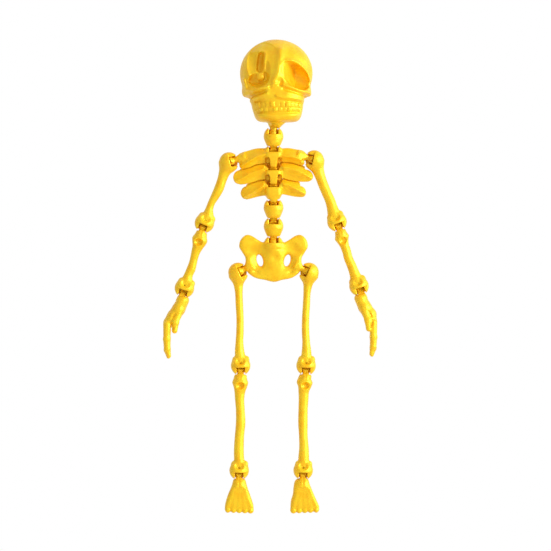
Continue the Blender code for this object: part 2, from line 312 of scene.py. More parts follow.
def silk_gold():
    """Glossy gold plastic with the fine lines of printed layers, which are stacked along Y."""
    material = bpy.data.materials.new("silk_gold")
    material.use_nodes = True
    tree = material.node_tree
    shader = tree.nodes["Principled BSDF"]

    def node(kind, **settings):
        made = tree.nodes.new(kind)
        for name, value in settings.items():
            setattr(made, name, value)
        return made

    def number(operation, *values):
        made = node("ShaderNodeMath", operation=operation)
        for socket, value in zip(made.inputs, values):
            if isinstance(value, (int, float)):
                socket.default_value = value
            else:
                tree.links.new(value, socket)
        return made.outputs[0]

    spot = node("ShaderNodeTexCoord")
    place = spot.outputs["Object"]
    place_parts = node("ShaderNodeSeparateXYZ")
    tree.links.new(place, place_parts.inputs[0])
    normal_parts = node("ShaderNodeSeparateXYZ")
    tree.links.new(spot.outputs["Normal"], normal_parts.inputs[0])
    flatness = number("ABSOLUTE", normal_parts.outputs["Y"])

    def noise(scale, detail):
        made = node("ShaderNodeTexNoise")
        tree.links.new(place, made.inputs["Vector"])
        made.inputs["Scale"].default_value = scale
        made.inputs["Detail"].default_value = detail
        return made.outputs["Fac"]

    # Layers: rounded beads on the sides, and steps like contour lines where a face lies across Y
    wander = number("MULTIPLY", noise(WANDER_SCALE, 2.0), LAYER * WANDER)
    level = number("DIVIDE", number("ADD", place_parts.outputs["Y"], wander), LAYER)
    bead = number("MULTIPLY", number("SINE", number("MULTIPLY", level, 2 * math.pi)), BEAD_DEPTH)
    steps = number("MULTIPLY", number("FRACT", level), STEP_DEPTH)
    steps = number("MULTIPLY", steps, flatness)
    grain = number("MULTIPLY", noise(GRAIN_SCALE, 2.0), GRAIN_DEPTH)
    height = number("ADD", number("ADD", bead, steps), grain)
    bump = node("ShaderNodeBump")
    bump.inputs["Strength"].default_value = 1.0
    bump.inputs["Distance"].default_value = 1.0
    tree.links.new(height, bump.inputs["Height"])
    tree.links.new(bump.outputs["Normal"], shader.inputs["Normal"])

    # Colour: the silk shimmer drifts between a lemon and an orange gold
    drift = node("ShaderNodeValToRGB")
    drift.color_ramp.elements[0].position = DRIFT_SPAN[0]
    drift.color_ramp.elements[0].color = GOLD_DEEP
    drift.color_ramp.elements[1].position = DRIFT_SPAN[1]
    drift.color_ramp.elements[1].color = GOLD_LIGHT
    tree.links.new(noise(DRIFT_SCALE, 3.0), drift.inputs["Fac"])
    tree.links.new(drift.outputs["Color"], shader.inputs["Base Color"])

    # Gloss: slightly uneven along the beads
    uneven = number("MULTIPLY", noise(GLOSS_SCALE, 2.0), GLOSS_SWING)
    tree.links.new(number("ADD", uneven, GLOSS_ROUGHNESS - GLOSS_SWING / 2), shader.inputs["Roughness"])
    shader.inputs["Metallic"].default_value = GOLD_METALLIC
    shader.inputs["Specular IOR Level"].default_value = SPECULAR
    shader.inputs["Subsurface Weight"].default_value = TRANSLUCENCY
    shader.inputs["Subsurface Radius"].default_value = GLOW_COLOUR
    shader.inputs["Subsurface Scale"].default_value = GLOW_REACH
    return material


# Printed layers and the grain of the silk: depths in metres, scales of the noise, and how far a layer
# line wanders, as a share of a layer
LAYER = 0.0002
BEAD_DEPTH = 0.000012
STEP_DEPTH = 0.00006
GRAIN_DEPTH = 0.00005
GRAIN_SCALE = 2400.0
WANDER = 0.5
WANDER_SCALE = 260.0

# Colour and gloss
DRIFT_SCALE = 200.0
DRIFT_SPAN = (0.32, 0.68)
GOLD_DEEP = (0.97, 0.52, 0.003, 1.0)
GOLD_LIGHT = (0.98, 0.64, 0.012, 1.0)
GLOSS_ROUGHNESS = 0.36
GLOSS_SWING = 0.12
GLOSS_SCALE = 900.0
SPECULAR = 0.5
GOLD_METALLIC = 0.4
TRANSLUCENCY = 0.3
GLOW_COLOUR = (1.0, 0.55, 0.05)
GLOW_REACH = 0.0025

SILK_GOLD = silk_gold()


# ---------------------------------------------------------------- the ball joint

def notch(block, centre, opening, low_width, high_width, rim=RIM, back=SLOT_BACK, flare=SLOT_FLARE):
    """The opening of a cup, turned about Y: the step across its front, and the slot behind it."""
    x, y, z = about(block, centre, opening)
    above = rim - z
    step = np.maximum(np.maximum(y + STEP, above), np.abs(x) - STEP_HALF_WIDTH)
    step = np.maximum(step, ball(block, CUP + 1.0, centre))
    widening = flare * np.maximum(z - rim, 0)
    walls = np.maximum(x - high_width - widening, -x - low_width - widening)
    behind = (y - back[0] - back[1] * (z - rim)) * LEAN_SCALE
    slot = np.maximum(np.maximum(walls, above), behind)
    return np.minimum(step, slot)


def hollow_cup(block, field, centre, opening, low_width, high_width, **shape):
    """Cut a cup's cavity and opening."""
    field = cut(field, notch(block, centre, opening, low_width, high_width, **shape), 0.35)
    return cut(field, ball(block, CAVITY, centre), 0.25)


def stub(block, centre, toward, length, reach=0.55, half_width=1.62, groove=0.22):
    """A captive ball and the stem that rises from it; a groove runs down the front of some."""
    toward = Vector(toward).normalized()
    x, y, z = about(block, centre)
    along = x * toward.x + z * toward.z
    across = x * toward.z - z * toward.x
    width = curve(along, (1.5, 3.2, 4.4, length), (1.35, 1.45, half_width, half_width * 1.06))
    front = np.clip(reach * along, 1.2, 3.3)
    back = np.clip(0.4 * along, 1.0, 1.6)
    deep = (y - (back - front) / 2) / ((back + front) / 2)
    stem = ((np.abs(across / width) ** 2.6 + np.abs(deep) ** 2.6) ** (1 / 2.6) - 1) * 1.4
    stem = stem + groove * np.exp(-(across / 0.4) ** 2) * (y < 0)
    stem = np.maximum(stem, np.maximum(1.5 - along, along - length))
    return join(ball(block, BALL, centre), stem, 0.4)


def cheek_room(block, centre, toward, half_width=1.8, front=STEM_FRONT):
    """What a neighbouring cup needs around its ball: all but the stem, whose front leans out by a slope."""
    toward = Vector(toward).normalized()
    x, y, z = about(block, centre)
    along = x * toward.x + z * toward.z
    across = x * toward.z - z * toward.x
    beside = np.minimum(half_width - np.abs(across), STEM_BACK - y)
    beside = np.minimum(beside, y + front * along)
    return np.maximum(ball(block, CUP + HEAD_CLEARANCE, centre), beside)


def turning_room(block, centre, radius):
    """What a neighbouring cup needs around its ball when it turns about an upright stem."""
    x, y, z = about(block, centre)
    return np.maximum(ball(block, CUP + HEAD_CLEARANCE, centre), radius - np.sqrt(x * x + y * y))


def flat_back(block, field, back=BED):
    """Cut a piece off at the plane that it was printed on."""
    return keep(field, block.y - back, 0.5)


# ---------------------------------------------------------------- spine

UP = (0, 0, 1)
DOWN = (0, 0, -1)


def spine_cup(block, pitch, reach=SPINE_REACH, half_width=SPINE_STEM):
    """The round body of a vertebra with the stem and ball below it, and that ball's centre."""
    lower = (0, 0, -pitch)
    body = join(ball(block, CUP), ellipsoid(block, (3.4, 3.7, 3.0), (0, -0.6, -3.2)), 1.0)
    body = cut(body, ball(block, CUP + SWING_CLEARANCE, lower), 0.3)
    stem = stub(block, lower, UP, pitch - 2.5, reach=reach, half_width=half_width, groove=0.05)
    return join(body, stem, 3.0), lower


def finish_vertebra(block, field, room, gap=SPINE_GAP, flare=SLOT_FLARE):
    """Clear the cup of the piece below, open the vertebra's own cup and flatten its back."""
    field = cut(field, room, 0.3)
    field = hollow_cup(block, field, (0, 0, 0), 0.0, gap, gap, flare=flare)
    return flat_back(block, field)


def vertebra(name, below, flare=SLOT_FLARE, turning=False):
    """A vertebra without ribs; a turning one has a round stem that lets the piece below turn."""
    pitch = (pivot(name) - pivot(below)).z
    block = Block((-6, -6, -pitch - 3.8), (6, 5.6, 6), FINE)
    if turning:
        field, lower = spine_cup(block, pitch, TURNING_REACH, TURNING_STEM)
        room = turning_room(block, lower, TURNING_STEM + STEM_ROOM)
    else:
        field, lower = spine_cup(block, pitch)
        room = cheek_room(block, lower, UP, SPINE_STEM + STEM_ROOM)
    build(name, block, finish_vertebra(block, field, room, flare=flare), place_at(name))


# Chest: the flare of its slots, the slope of its stems' fronts, its flat front and the wall behind its balls
CHEST_FLARE = 0.5
CHEST_STEM_FRONT = 1.5
CHEST_FRONT = 4.5
COLLAR = 7.6

# Rib edges: how far they are filled out, and the depth of their front
EDGE_ROUNDING = 0.45
LIP = 0.7

# Where one rib laps over the next: height, front depth of the upper one and where its back is
OVERLAP = 1.05
OVERLAP_FRONT = 1.5
OVERLAP_BACK = -0.8


def slope(z, depth, edge, ridge, bend, lip=LIP):
    """Depth of a blade between its ridge and an edge; a bend over 1 hollows the slope."""
    share = np.clip((z - ridge) / (edge - ridge), 0, 1)
    return lip + (depth - lip) * (1 - share) ** bend


def blade(block, side, rows, tip, under, over):
    """A rib with a ridge along its front; rows: distance out, top, ridge and bottom height, ridge depth, back
    depth; tip: distance out, height, length and half height of its rounded end. Its top edge can pass under
    the rib above, and its bottom edge over the rib below.
    """
    out = side * block.x
    knots, *columns = np.array(rows, float).T
    top, ridge, bottom, depth, back = (curve(out, knots, values) for values in columns)
    top, bottom = top + EDGE_ROUNDING, bottom - EDGE_ROUNDING
    z = block.z
    low_front = slope(z, depth, bottom, ridge, 1.9, OVERLAP_FRONT if over else LIP)
    front = np.where(z > ridge, slope(z, depth, top, ridge, 1.15), low_front)
    middle = (top + bottom) / 2
    behind = slope(z, back, np.where(z > middle, top, bottom), middle, 0.8)
    across = np.maximum(z - top, bottom - z)
    body = keep(np.maximum(-front - block.y, block.y - behind) * 0.75, across, 0.5)
    if under:
        body = cut(body, np.maximum(top - OVERLAP - z, block.y), 0.15)
    if over:
        body = cut(body, np.maximum(z - bottom - OVERLAP, OVERLAP_BACK - block.y), 0.15)
    end = across_oval(block, (side * (tip[0] - tip[2]), tip[1]), (tip[2], tip[3])) - 1
    end = np.where(out < tip[0] - tip[2], -1, end) * min(tip[2], tip[3])
    return keep(keep(body, knots[0] - out, 1.0), end, 0.8)


def breast(block, lower):
    """The rounded body between two ribs, clear of the cup below."""
    body = brick(block, (3.7, 4.5, 2.6), (0, 0.1, -1.5), 0.0, 1.6)
    return cut(body, ball(block, CUP + SWING_CLEARANCE, lower), 0.3)


def flat_front(block, field):
    """Cut a chest piece off at the front."""
    return keep(field, -CHEST_FRONT - block.y, 0.8)


def pockets(block, field, lower):
    """Two hollows in the front above the cup below, one on each side of the stem, and room for its collar."""
    for side in (-1, 1):
        centre = (side * 2.95, -3.2, lower[2] + 5.2)
        field = cut(field, brick(block, (1.05, 3.4, 2.1), centre, side * 0.12, 0.8), 0.3)
    behind = np.maximum(ball(block, COLLAR + SWING_CLEARANCE, lower), 1.5 - block.y)
    return cut(field, behind, 0.3)


def collar(block, field):
    """A low wall behind the ball that closes the back of a chest cup."""
    wall = keep(ball(block, COLLAR), brick(block, (5.3, 0.95, 3.0), (0, 3.5, 2.9)), 0.3)
    return join(field, wall, 0.4)


def chest_piece(name, below, reach, ribs, stem, last=False):
    """A vertebra that carries one pair of ribs and has a stem of a given half width; the last laps over
    no ribs below it.
    """
    pitch = (pivot(name) - pivot(below)).z
    block = Block((-reach, -6, -pitch - 3.8), (reach, 5.6, 6.8), MEDIUM)
    field, lower = spine_cup(block, pitch, CHEST_REACH, stem)
    field = join(flat_front(block, field), breast(block, lower), 1.2)
    for side, rows, tip in ribs:
        field = join(field, blade(block, side, rows, tip, under=True, over=not last), 0.6)
    if not last:
        field = pockets(block, field, lower)
    room = cheek_room(block, lower, UP, stem + STEM_ROOM, CHEST_STEM_FRONT)
    field = finish_vertebra(block, field, room, CHEST_GAP, CHEST_FLARE)
    build(name, block, flat_back(block, collar(block, field)), place_at(name))


def chest_upper(name, below):
    """The top pair of ribs, which carry the shoulder balls."""
    pitch = (pivot(name) - pivot(below)).z
    block = Block((-27, -6, -pitch - 3.8), (25, 5.6, 6), MEDIUM)
    field, lower = spine_cup(block, pitch, CHEST_REACH)
    field = join(flat_front(block, field), breast(block, lower), 1.2)
    for (side, rows, tip), arm in zip(RIBS_UPPER, SIDES):
        centre = pivot("upper_arm_" + arm) - pivot(name)
        wing = blade(block, side, rows, tip, under=False, over=True)
        wing = cut(wing, ball(block, CUP + SWING_CLEARANCE, centre), 0.4)
        field = join(field, wing, 0.6)
        field = side_stub(block, field, centre, side, SHOULDER_SLOPE, SHOULDER_STEM)
    field = pockets(block, field, lower)
    room = cheek_room(block, lower, UP, SPINE_STEM + STEM_ROOM, CHEST_STEM_FRONT)
    build(name, block, finish_vertebra(block, field, room), place_at(name))


def side_stub(block, field, centre, side, angle, length):
    """The ball and stem that hold an arm or a leg; its lower front is hollowed out."""
    toward = Vector((-side * math.cos(angle), 0, math.sin(angle)))
    up = Vector((side * math.sin(angle), 0, math.cos(angle)))
    field = join(field, stub(block, centre, toward, length, reach=0.42, half_width=1.75, groove=0), 1.2)
    start = Vector(centre) + 0.9 * toward - 2.0 * up + Vector((0, -2.6, 0))
    end = Vector(centre) + 4.9 * toward - 2.2 * up + Vector((0, -2.9, 0))
    field = cut(field, rod(block, start, end, 1.35, 1.2), 0.4)
    return cut(field, cheek_room(block, centre, toward, 2.0, front=3.0), 0.3)


# Each rib: its side; distance out, top, ridge and bottom height, ridge depth, back depth; its rounded end:
# distance out, height, length and half height
RIBS_UPPER = [
    (-1, [
        (2.0, 2.4, 0.4, -4.2, 3.6, 2.6), (5.0, 2.5, -0.7, -4.6, 4.4, 2.8),
        (8.4, 2.4, -1.7, -5.0, 4.6, 2.6), (12.8, 1.3, -4.2, -6.7, 4.4, 2.4),
        (15.0, 0.6, -5.7, -7.2, 3.8, 2.0), (17.1, -0.2, -6.6, -7.6, 3.0, 1.8),
    ], (17.6, -3.4, 1.2, 4.8)),
    (1, [
        (2.0, 2.4, -1.2, -3.6, 3.6, 2.6), (4.0, 2.4, -1.4, -3.8, 4.4, 2.8),
        (7.4, 2.6, -1.6, -3.9, 4.6, 2.6), (11.1, 2.0, -2.2, -4.7, 4.4, 2.4),
        (13.1, 1.6, -2.9, -5.3, 4.0, 2.2), (15.6, 1.2, -4.0, -5.9, 3.0, 1.8),
    ], (16.2, -2.3, 1.6, 4.3)),
]
RIBS_MIDDLE = [
    (-1, [
        (3.6, 4.5, 1.9, -3.3, 3.4, 2.4), (5.0, 4.5, 1.4, -3.4, 4.3, 2.7),
        (7.4, 4.4, 0.6, -3.8, 4.6, 2.7), (10.9, 3.1, -0.7, -4.9, 4.6, 2.6),
        (13.6, 2.1, -1.9, -5.6, 4.4, 2.4), (15.8, 1.6, -3.2, -5.9, 3.9, 2.2),
        (20.4, -0.2, -5.4, -6.1, 2.4, 1.6),
    ], (20.6, -2.6, 3.4, 3.9)),
    (1, [
        (3.6, 5.1, 2.6, -2.7, 3.4, 2.4), (5.0, 5.2, 2.3, -2.9, 4.3, 2.7),
        (7.4, 5.1, 1.9, -3.6, 4.6, 2.7), (11.1, 4.4, 0.8, -4.3, 4.6, 2.6),
        (14.8, 3.1, -0.8, -4.6, 4.2, 2.4), (18.5, 1.0, -2.8, -4.5, 3.2, 2.0),
        (20.6, -0.6, -3.9, -4.4, 2.2, 1.5),
    ], (20.2, -2.1, 4.2, 3.6)),
]
RIBS_LOWER = [
    (-1, [
        (3.6, 5.0, 1.8, -2.9, 3.4, 2.4), (5.0, 4.9, 1.3, -3.0, 4.2, 2.6),
        (8.4, 4.2, -0.7, -3.6, 4.5, 2.6), (10.9, 3.4, -2.2, -4.3, 4.3, 2.4),
        (13.6, 2.0, -3.7, -4.9, 3.8, 2.2), (17.0, -0.6, -4.8, -5.3, 2.4, 1.6),
    ], (16.8, -1.9, 3.0, 3.5)),
    (1, [
        (3.6, 5.4, 2.7, -2.1, 3.4, 2.4), (5.0, 5.4, 2.5, -2.3, 4.2, 2.6),
        (7.4, 4.8, 1.9, -2.8, 4.5, 2.6), (11.1, 4.0, 0.0, -3.5, 4.3, 2.4),
        (13.6, 2.9, -1.3, -3.7, 3.8, 2.2), (16.8, 0.4, -2.9, -3.8, 2.4, 1.6),
    ], (16.6, -1.6, 3.0, 3.2)),
]

# Stems of the shoulder and hip balls: slope and length, and how far below them their cups open
SHOULDER_SLOPE = math.radians(18)
SHOULDER_STEM = 8.8
HIP_SLOPE = math.radians(28)
HIP_STEM = 8.0
OPENS_BELOW_STEM = math.radians(4)


# ---------------------------------------------------------------- limbs

def scoop(block, field, centre, size, fillet=0.4):
    """A hollow pressed into the front of a bone."""
    return cut(field, ellipsoid(block, size, centre), fillet)


# The outline of a shaft is filled out by this, against the rounding of its section
SHAFT_WIDENING = 1.04


def shaft(block, rows):
    """A bone between two joints; rows: distance down, shift across, half width, half depth."""
    rows = [(-down, shift, 0.1, width * SHAFT_WIDENING, depth) for down, shift, width, depth in rows]
    return column(block, rows, 1.85, 0.4)


def end_cup(block, field, length):
    """The cup at a bone's lower end opens down; the shaft sinks into a bowl whose lip rises around it."""
    lower = (0, 0, -length)
    cup = ball(block, CUP, lower)
    for ear in ((-2.4, 0.3, 3.2), (2.8, 0.3, 3.3)):
        cup = join(cup, ball(block, 1.75, (ear[0], ear[1], ear[2] - length)), 0.8)
    bowl_low = (0, -5.3, 3.6 - length)
    bowl_high = (0, -6.2, 8.5 - length)
    cup = cut(cup, rod(block, bowl_low, bowl_high, 3.2, 4.0), 0.6)
    field = join(cup, field, 0.6)
    return hollow_cup(block, field, lower, math.pi, END_GAP, END_GAP)


def cup_to_cup_bone(name, below, side, stem_slope):
    """An upper arm or a thigh, whose upper cup opens towards the stem of the ball that holds it."""
    opening = -side * (math.pi / 2 - stem_slope + OPENS_BELOW_STEM)
    gap = SIDE_GAP if side < 0 else SIDE_GAP[::-1]
    length = (pivot(name) - pivot(below)).length
    turn = lean(name, below)
    block = Block((-6, -6.2, -length - 6), (6, 5.6, 6), FINE)
    field = join(shaft(block, BONES[name]), ball(block, CUP), 1.6)
    field = hollow_cup(block, field, (0, 0, 0), opening - turn, *gap, rim=SIDE_RIM, back=SIDE_SLOT_BACK)
    field = end_cup(block, field, length)
    build(name, block, flat_back(block, field), place_at(name, turn))


def ball_to_cup_bone(name, below):
    """A forearm or a shin: a ball, a flared head with a hollow under it, a shaft and a cup."""
    length = (pivot(name) - pivot(below)).length
    turn = lean(name, below)
    block = Block((-6, -6.2, -length - 6), (6, 5.6, 3.6), FINE)
    field = shaft(block, BONES[name])
    field = join(field, stub(block, (0, 0, 0), DOWN, 7.0), 1.0)
    field = cut(field, cheek_room(block, (0, 0, 0), DOWN), 0.3)
    field = scoop(block, field, (0, -5.0, -10.3), (2.8, 4.1, 2.2), 0.5)
    field = end_cup(block, field, length)
    build(name, block, flat_back(block, field), place_at(name, turn))


def arm(name, side):
    """Upper arm, forearm and hand of one side."""
    cup_to_cup_bone("upper_arm_" + name, "forearm_" + name, side, SHOULDER_SLOPE)
    ball_to_cup_bone("forearm_" + name, "hand_" + name)
    hand("hand_" + name, side)


def leg(name, side):
    """Thigh, shin and foot of one side."""
    cup_to_cup_bone("thigh_" + name, "shin_" + name, side, HIP_SLOPE)
    ball_to_cup_bone("shin_" + name, "foot_" + name)
    foot("foot_" + name, side)


# Each bone: distance down from its upper joint, shift across, half width, half depth
BONES = {
    "upper_arm_right": [
        (2.0, 0, 4.2, 4.2), (6.0, -0.2, 2.8, 2.9), (9.0, 0, 2.4, 2.5), (14.8, 0.3, 2.35, 2.5),
        (19.4, -0.1, 2.05, 2.3), (22.9, -0.5, 1.75, 2.1), (26.0, -0.3, 1.95, 2.2),
        (28.6, 0.3, 2.7, 2.8), (32.6, 0.2, 3.1, 3.1),
    ],
    "upper_arm_left": [
        (2.0, 0, 4.2, 4.2), (6.0, 0.1, 2.9, 2.9), (9.0, 0, 2.55, 2.5), (14.5, 0, 2.45, 2.5),
        (18.5, 0.2, 2.4, 2.4), (22.5, 0.45, 2.5, 2.4), (26.0, 0.2, 2.7, 2.5), (28.6, 0, 3.1, 2.9),
        (32.6, 0.2, 3.3, 3.1),
    ],
    "forearm_right": [
        (4.3, 0, 2.5, 2.2), (5.4, 0.1, 2.8, 2.7), (6.6, 0.1, 3.1, 3.1), (8.7, 0.2, 3.85, 3.6),
        (10.6, 0.3, 3.4, 3.3), (12.6, 0.3, 2.7, 2.7), (15.3, 0.1, 2.2, 2.4), (18.4, 0.2, 1.95, 2.2),
        (21.5, 0.4, 2.0, 2.2), (24.3, 0.4, 2.2, 2.3), (28.0, 0, 2.2, 2.3), (30.4, 0.1, 2.7, 2.7),
        (34.2, 0.4, 3.0, 3.1),
    ],
    "forearm_left": [
        (4.3, 0, 2.5, 2.2), (5.4, 0, 2.8, 2.7), (6.6, -0.1, 3.0, 3.1), (8.4, -0.2, 3.6, 3.5),
        (10.2, -0.3, 2.9, 3.0), (12.2, -0.3, 2.35, 2.5), (15.3, -0.2, 2.2, 2.4), (19.4, -0.5, 2.2, 2.3),
        (23.5, -0.2, 2.3, 2.4), (27.5, -0.1, 2.5, 2.5), (30.4, -0.1, 2.9, 2.8), (34.2, 0, 3.1, 3.1),
    ],
    "thigh_right": [
        (2.6, 0, 4.1, 4.1), (6.1, 0, 2.5, 2.7), (9.2, 0.1, 2.0, 2.4), (16.3, 0.2, 1.85, 2.2),
        (24.5, 0.35, 1.8, 2.1), (30.6, 0.1, 1.85, 2.2), (36.0, -0.3, 1.95, 2.3), (40.8, -0.3, 2.4, 2.6),
        (43.0, -0.1, 2.6, 2.8), (48.0, 0, 2.8, 3.0),
    ],
    "thigh_left": [
        (2.6, 0, 4.1, 4.1), (6.1, -0.3, 2.4, 2.7), (9.2, -0.6, 1.9, 2.4), (16.3, -0.8, 1.8, 2.2),
        (24.5, -1.0, 1.8, 2.1), (30.6, -0.8, 1.85, 2.2), (36.0, -0.3, 1.95, 2.3), (40.8, 0, 2.4, 2.6),
        (43.0, 0, 2.6, 2.8), (48.0, 0, 2.8, 3.0),
    ],
    "shin_right": [
        (4.3, 0, 2.7, 2.2), (5.4, 0, 3.1, 2.8), (6.6, -0.1, 3.3, 3.2), (8.7, -0.1, 3.9, 3.6),
        (10.6, 0, 3.4, 3.2), (13.2, -0.2, 2.7, 2.6), (16.3, -0.3, 2.35, 2.4), (22.0, 0.1, 2.2, 2.3),
        (29.0, 0.4, 2.35, 2.4), (36.0, -0.1, 2.3, 2.4), (42.5, -0.3, 2.45, 2.5), (46.6, -0.2, 2.5, 2.7),
        (48.8, 0.0, 2.6, 2.8), (53.6, 0.1, 2.8, 3.0),
    ],
    "shin_left": [
        (4.3, -0.2, 2.7, 2.2), (5.4, -0.3, 3.1, 2.8), (6.6, -0.6, 3.3, 3.2), (8.7, -0.5, 3.9, 3.6),
        (10.6, -0.4, 3.3, 3.2), (13.2, -0.8, 2.65, 2.6), (16.3, -0.8, 2.45, 2.4),
        (22.0, -0.9, 2.3, 2.3), (29.0, -0.8, 2.35, 2.4), (36.0, -0.4, 2.15, 2.4), (42.5, 0.1, 2.4, 2.5),
        (46.6, 0.1, 2.65, 2.7), (48.8, 0.1, 2.7, 2.8), (53.6, 0.1, 2.8, 3.0),
    ],
}


# How far the fingers of each hand stand out, and the slope that the wrist needs to bend fully
FINGER_SHIFT = {"right": 0.6, "left": -0.95}
HAND_STEM_FRONT = 0.48


def hand(name, side):
    """Seen edge on: four fingers one behind the other, the thumb in front; the palm leans out."""
    block = Block((-13, -7.6, -37.4), (13, 6.4, 3.6), FINE)
    shift = FINGER_SHIFT["left" if side > 0 else "right"]
    palm = [(0.7, -6.2, 3.1), (2.9, -10.6, 3.3), (5.4, -14.4, 3.4), (7.3 + shift, -17.6, 2.9)]
    field = 1e3
    for (x0, z0, r0), (x1, z1, r1) in zip(palm, palm[1:]):
        field = join(field, rod(block, (side * x0, 0, z0), (side * x1, 0, z1), r0, r1, 0.7), 0.8)
    for i, (y, reach) in enumerate(((-3.9, 0.0), (-1.4, 0.9), (1.2, 0.6), (3.6, -1.2))):
        across = shift + 0.3 * (i % 2) - 0.1
        knuckle = (side * (8.1 + across), y, -18.6)
        bend = (side * (8.3 + across), y, -25.6 - 0.4 * reach)
        last = (side * (8.1 + across), y, -30.8 - 0.8 * reach)
        tip = (side * (7.3 + across), y, -34.1 - reach)
        finger = join(rod(block, knuckle, bend, 1.9, 1.6), rod(block, bend, last, 1.7, 1.5), 0.8)
        finger = join(finger, rod(block, last, tip, 1.5, 0.95), 0.6)
        field = join(field, finger, 0.5)
    field = cut(field, ellipsoid(block, (1.5, 2.0, 3.0), (side * 4.6, -5.6, -14.6), side * -0.5), 0.8)
    thumb = join(rod(block, (side * 2.4, -2.8, -11.0), (side * 4.4, -4.2, -17.4), 1.9, 1.75),
                 rod(block, (side * 4.4, -4.2, -17.4), (side * 4.8, -4.7, -21.6), 1.75, 1.45), 0.8)
    field = join(field, thumb, 0.8)
    field = cut(field, rod(block, (side * 5.6, -5.6, -20.6), (side * 6.6, -5.6, -18.4), 0.5, 0.5), 0.5)
    toward = (-math.sin(hinge_lean(name)), 0, -math.cos(hinge_lean(name)))
    field = join(field, stub(block, (0, 0, 0), toward, 6.6, half_width=1.8), 1.2)
    field = cut(field, cheek_room(block, (0, 0, 0), toward, 1.85, HAND_STEM_FRONT), 0.3)
    build(name, block, flat_back(block, field, HAND_BACK), place_at(name))


# Each foot: height, centre x, centre y, half width, half depth; then its toes: shift across and spacing
FOOT_RIGHT = [(-4.3, 0.1, 0.8, 2.9, 2.3), (-6.2, 0.1, 0.6, 3.4, 3.1), (-9.2, 0.0, 0.5, 4.4, 3.5),
              (-12.3, -0.1, 1.0, 5.6, 3.3), (-15.3, -0.1, 1.4, 6.6, 3.0), (-18.4, 0.0, 1.7, 7.3, 2.7),
              (-21.2, 0.0, 1.9, 7.3, 2.3)]
FOOT_LEFT = [(-4.3, -0.7, 0.8, 3.0, 2.3), (-6.2, -0.8, 0.6, 3.7, 3.1), (-9.2, -0.4, 0.5, 4.6, 3.5),
             (-12.3, 0.1, 1.0, 5.4, 3.3), (-15.3, 0.3, 1.4, 6.5, 3.0), (-18.4, 0.8, 1.7, 7.3, 2.7),
             (-21.2, 0.9, 1.9, 7.4, 2.3)]
TOES_RIGHT = (0.0, 2.9)
TOES_LEFT = (0.85, 2.9)


def foot(name, side):
    """An instep with five faint metatarsal ridges that spread to five toes, flat underneath."""
    block = Block((-9.8, -5.5, -23.6), (9.8, 4.4, 3.6), FINE)
    rows, (splay, spacing) = (FOOT_LEFT, TOES_LEFT) if side > 0 else (FOOT_RIGHT, TOES_RIGHT)
    field = column(block, rows, 3.0, 1.4)
    field = cut(field, ellipsoid(block, (4.6, 1.5, 6.0), (0.3, -3.4, -13.6)), 0.8)
    for i in range(5):
        toe_x = splay - side * spacing * (2 - i)
        ridge = rod(block, (toe_x * 0.45, -1.7, -9.4), (toe_x, 0.3, -18.6), 0.7, 1.1)
        field = join(field, ridge, 0.8)
        if i:
            between = toe_x + side * spacing / 2
            groove = rod(block, (between * 0.55, -3.2, -11.5), (between, -1.6, -19.4), 0.15, 0.3)
            field = cut(field, groove, 0.7)
            field = cut(field, rod(block, (between, -1.6, -19.4), (between, 1.6, -23.2), 0.3, 0.7), 0.6)
        crease = rod(block, (toe_x - 1.2, -1.5, -19.2), (toe_x + 1.2, -1.5, -19.2), 0.25, 0.25)
        field = cut(field, crease, 0.4)
        field = join(field, ellipsoid(block, (1.6 - 0.06 * i, 1.6, 1.5), (toe_x, 0.6, -20.6 + 0.1 * i)), 0.5)
    field = join(field, stub(block, (0, 0, 0), DOWN, 8.2, half_width=1.9), 1.6)
    field = cut(field, cheek_room(block, (0, 0, 0), DOWN, 1.95), 0.3)
    build(name, block, flat_back(block, field, SOLE), place_at(name))


# ---------------------------------------------------------------- pelvis

def outline_distance(x, z, points):
    """Signed distance in the XZ plane to a closed outline."""
    away = np.full(np.broadcast(x, z).shape, 1e6, np.float32)
    inside = np.zeros(away.shape, bool)
    for (x0, z0), (x1, z1) in zip(points, points[1:] + points[:1]):
        ex, ez = x1 - x0, z1 - z0
        wx, wz = x - x0, z - z0
        share = np.clip((wx * ex + wz * ez) / (ex * ex + ez * ez), 0, 1)
        away = np.minimum(away, (wx - share * ex) ** 2 + (wz - share * ez) ** 2)
        spans = (z0 <= z) != (z1 <= z)
        inside ^= spans & (wx < ex * wz / (ez if ez else 1e-9))
    return np.sqrt(away) * np.where(inside, -1, 1)


def rounded_outline(points, per_side=6):
    """A closed smooth curve through a few points."""
    result = []
    count = len(points)
    for i in range(count):
        before, start, end, after = (np.array(points[(i + k) % count], float) for k in (-1, 0, 1, 2))
        for step in range(per_side):
            t = step / per_side
            result.append(tuple(0.5 * (
                2 * start + (end - before) * t
                + (2 * before - 5 * start + 4 * end - after) * t ** 2
                + (3 * start - before - 3 * end + after) * t ** 3
            )))
    return result


def hump(x, z, centre, size, turn=0.0):
    """A smooth bump of height 1 in the XZ plane."""
    cos, sin = math.cos(turn), math.sin(turn)
    dx, dz = x - centre[0], z - centre[1]
    across, along = cos * dx - sin * dz, sin * dx + cos * dz
    return np.exp(-(across / size[0]) ** 2 - (along / size[1]) ** 2)


